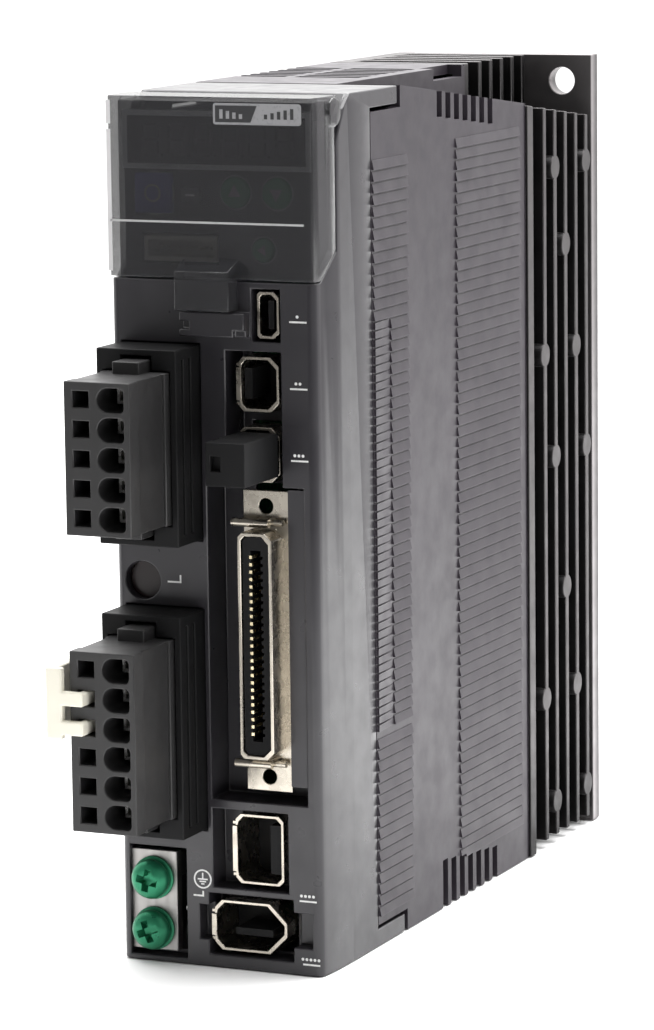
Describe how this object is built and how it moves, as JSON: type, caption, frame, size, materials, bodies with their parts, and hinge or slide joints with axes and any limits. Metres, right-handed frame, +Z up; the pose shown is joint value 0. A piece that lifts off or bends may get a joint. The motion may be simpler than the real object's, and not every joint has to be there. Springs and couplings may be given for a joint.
{
  "type": "servo drive",
  "caption": "Slim upright wall-mount servo drive with finned aluminium back, louvred case, flip-up display cover, pluggable power terminals and signal sockets.",
  "frame": {"origin": "middle of the rear mounting face at its lower edge", "axes": "+X to the right seen from the front, +Y back into the wall, +Z up"},
  "size_m": [0.04, 0.1578, 0.15],
  "materials": {
    "cast_aluminium": "die cast, dark, fine grain",
    "case_plastic": "satin moulded",
    "front_plastic": "satin moulded",
    "smoked_plastic": "smoked transparent",
    "panel_plastic": "satin moulded",
    "display_glass": "dark red filter",
    "black_plastic": "matte moulded",
    "plug_plastic": "matte moulded",
    "nickel_plate": "bright nickel",
    "tin_plate": "tin plated",
    "gold_plate": "gold flash",
    "green_screw": "green dipped",
    "ivory_plastic": "moulded",
    "key_blue": "moulded",
    "key_grey": "moulded",
    "key_green": "moulded",
    "lamp_lens": "clear red",
    "circuit_board": "solder resist",
    "component_black": "moulded",
    "capacitor_sleeve": "heat shrink sleeve",
    "copper_winding": "enamelled wire",
    "brass_spacer": "turned",
    "steel_screw": "zinc plated",
    "spring_steel": "rolled",
    "gap_pad": "soft"
  },
  "bodies": {
    "drive": {"heat_sink": "cast_aluminium", "rear_case": "case_plastic", "front_case": "front_plastic", "operation_panel": "panel_plastic", "display_window": "display_glass", "display_module": "component_black", "display_board": "circuit_board", "key_switches": "component_black", "monitor_socket": "ivory_plastic", "charge_lens": "lamp_lens", "usb_shell": "nickel_plate", "usb_insert": "black_plastic", "expansion_shell": "nickel_plate", "expansion_insert": "black_plastic", "safety_shell": "nickel_plate", "safety_insert": "black_plastic", "scale_shell": "nickel_plate", "scale_insert": "black_plastic", "encoder_shell": "nickel_plate", "encoder_insert": "black_plastic", "io_flange": "nickel_plate", "io_insert": "black_plastic", "io_contacts": "gold_plate", "io_latch_bars": "nickel_plate", "supply_header": "black_plastic", "supply_pins": "tin_plate", "motor_header": "black_plastic", "motor_pins": "tin_plate", "ground_plate": "tin_plate", "control_board": "circuit_board", "control_chips": "component_black", "power_board": "circuit_board", "bus_capacitors": "capacitor_sleeve", "inrush_relay": "component_black", "filter_choke": "copper_winding", "power_module": "component_black", "thermal_pad": "gap_pad", "module_screws": "steel_screw", "board_spacers": "brass_spacer", "board_screws": "steel_screw"},
    "cover": {"display_cover": "smoked_plastic"},
    "mode_key": {"mode_button": "key_blue"},
    "set_key": {"set_button": "key_grey"},
    "shift_key": {"shift_button": "key_green"},
    "up_key": {"up_button": "key_green"},
    "down_key": {"down_button": "key_green"},
    "supply_connector": {"supply_plug": "plug_plastic", "supply_clamps": "spring_steel"},
    "motor_connector": {"motor_plug": "plug_plastic", "motor_clamps": "spring_steel"},
    "lever": {"opener_lever": "ivory_plastic"},
    "bypass_plug": {"safety_plug": "plug_plastic"},
    "upper_screw": {"upper_ground_screw": "green_screw"},
    "lower_screw": {"lower_ground_screw": "green_screw"}
  },
  "joints": [
    {"name": "cover_hinge", "type": "hinge", "parent": "drive", "child": "cover", "pos_m": [0, -0.1243, 0.1473], "axis": [-1, 0, 0], "range_deg": [0, 100]},
    {"name": "mode_press", "type": "slide", "parent": "drive", "child": "mode_key", "axis": [0, 1, 0], "range_m": [0, 0.0003], "stiffness_N_per_m": 300, "springref_m": -0.001},
    {"name": "set_press", "type": "slide", "parent": "drive", "child": "set_key", "axis": [0, 1, 0], "range_m": [0, 0.0003], "stiffness_N_per_m": 300, "springref_m": -0.001},
    {"name": "shift_press", "type": "slide", "parent": "drive", "child": "shift_key", "axis": [0, 1, 0], "range_m": [0, 0.0003], "stiffness_N_per_m": 300, "springref_m": -0.001},
    {"name": "up_press", "type": "slide", "parent": "drive", "child": "up_key", "axis": [0, 1, 0], "range_m": [0, 0.0003], "stiffness_N_per_m": 300, "springref_m": -0.001},
    {"name": "down_press", "type": "slide", "parent": "drive", "child": "down_key", "axis": [0, 1, 0], "range_m": [0, 0.0003], "stiffness_N_per_m": 300, "springref_m": -0.001},
    {"name": "supply_pull", "type": "slide", "parent": "drive", "child": "supply_connector", "axis": [0, -1, 0], "range_m": [0, 0.016]},
    {"name": "motor_pull", "type": "slide", "parent": "drive", "child": "motor_connector", "axis": [0, -1, 0], "range_m": [0, 0.016]},
    {"name": "lever_press", "type": "hinge", "parent": "motor_connector", "child": "lever", "pos_m": [-0.0164, -0.157, 0.04835], "axis": [0, 0, -1], "range_deg": [0, 8], "stiffness_Nm_per_rad": 0.02},
    {"name": "bypass_pull", "type": "slide", "parent": "drive", "child": "bypass_plug", "axis": [0, -1, 0], "range_m": [0, 0.008]},
    {"name": "upper_screw_turn", "type": "hinge", "parent": "drive", "child": "upper_screw", "pos_m": [-0.01325, -0.131, 0.0146], "axis": [0, -1, 0], "continuous": true},
    {"name": "lower_screw_turn", "type": "hinge", "parent": "drive", "child": "lower_screw", "pos_m": [-0.01325, -0.131, 0.0056], "axis": [0, -1, 0], "continuous": true}
  ]
}
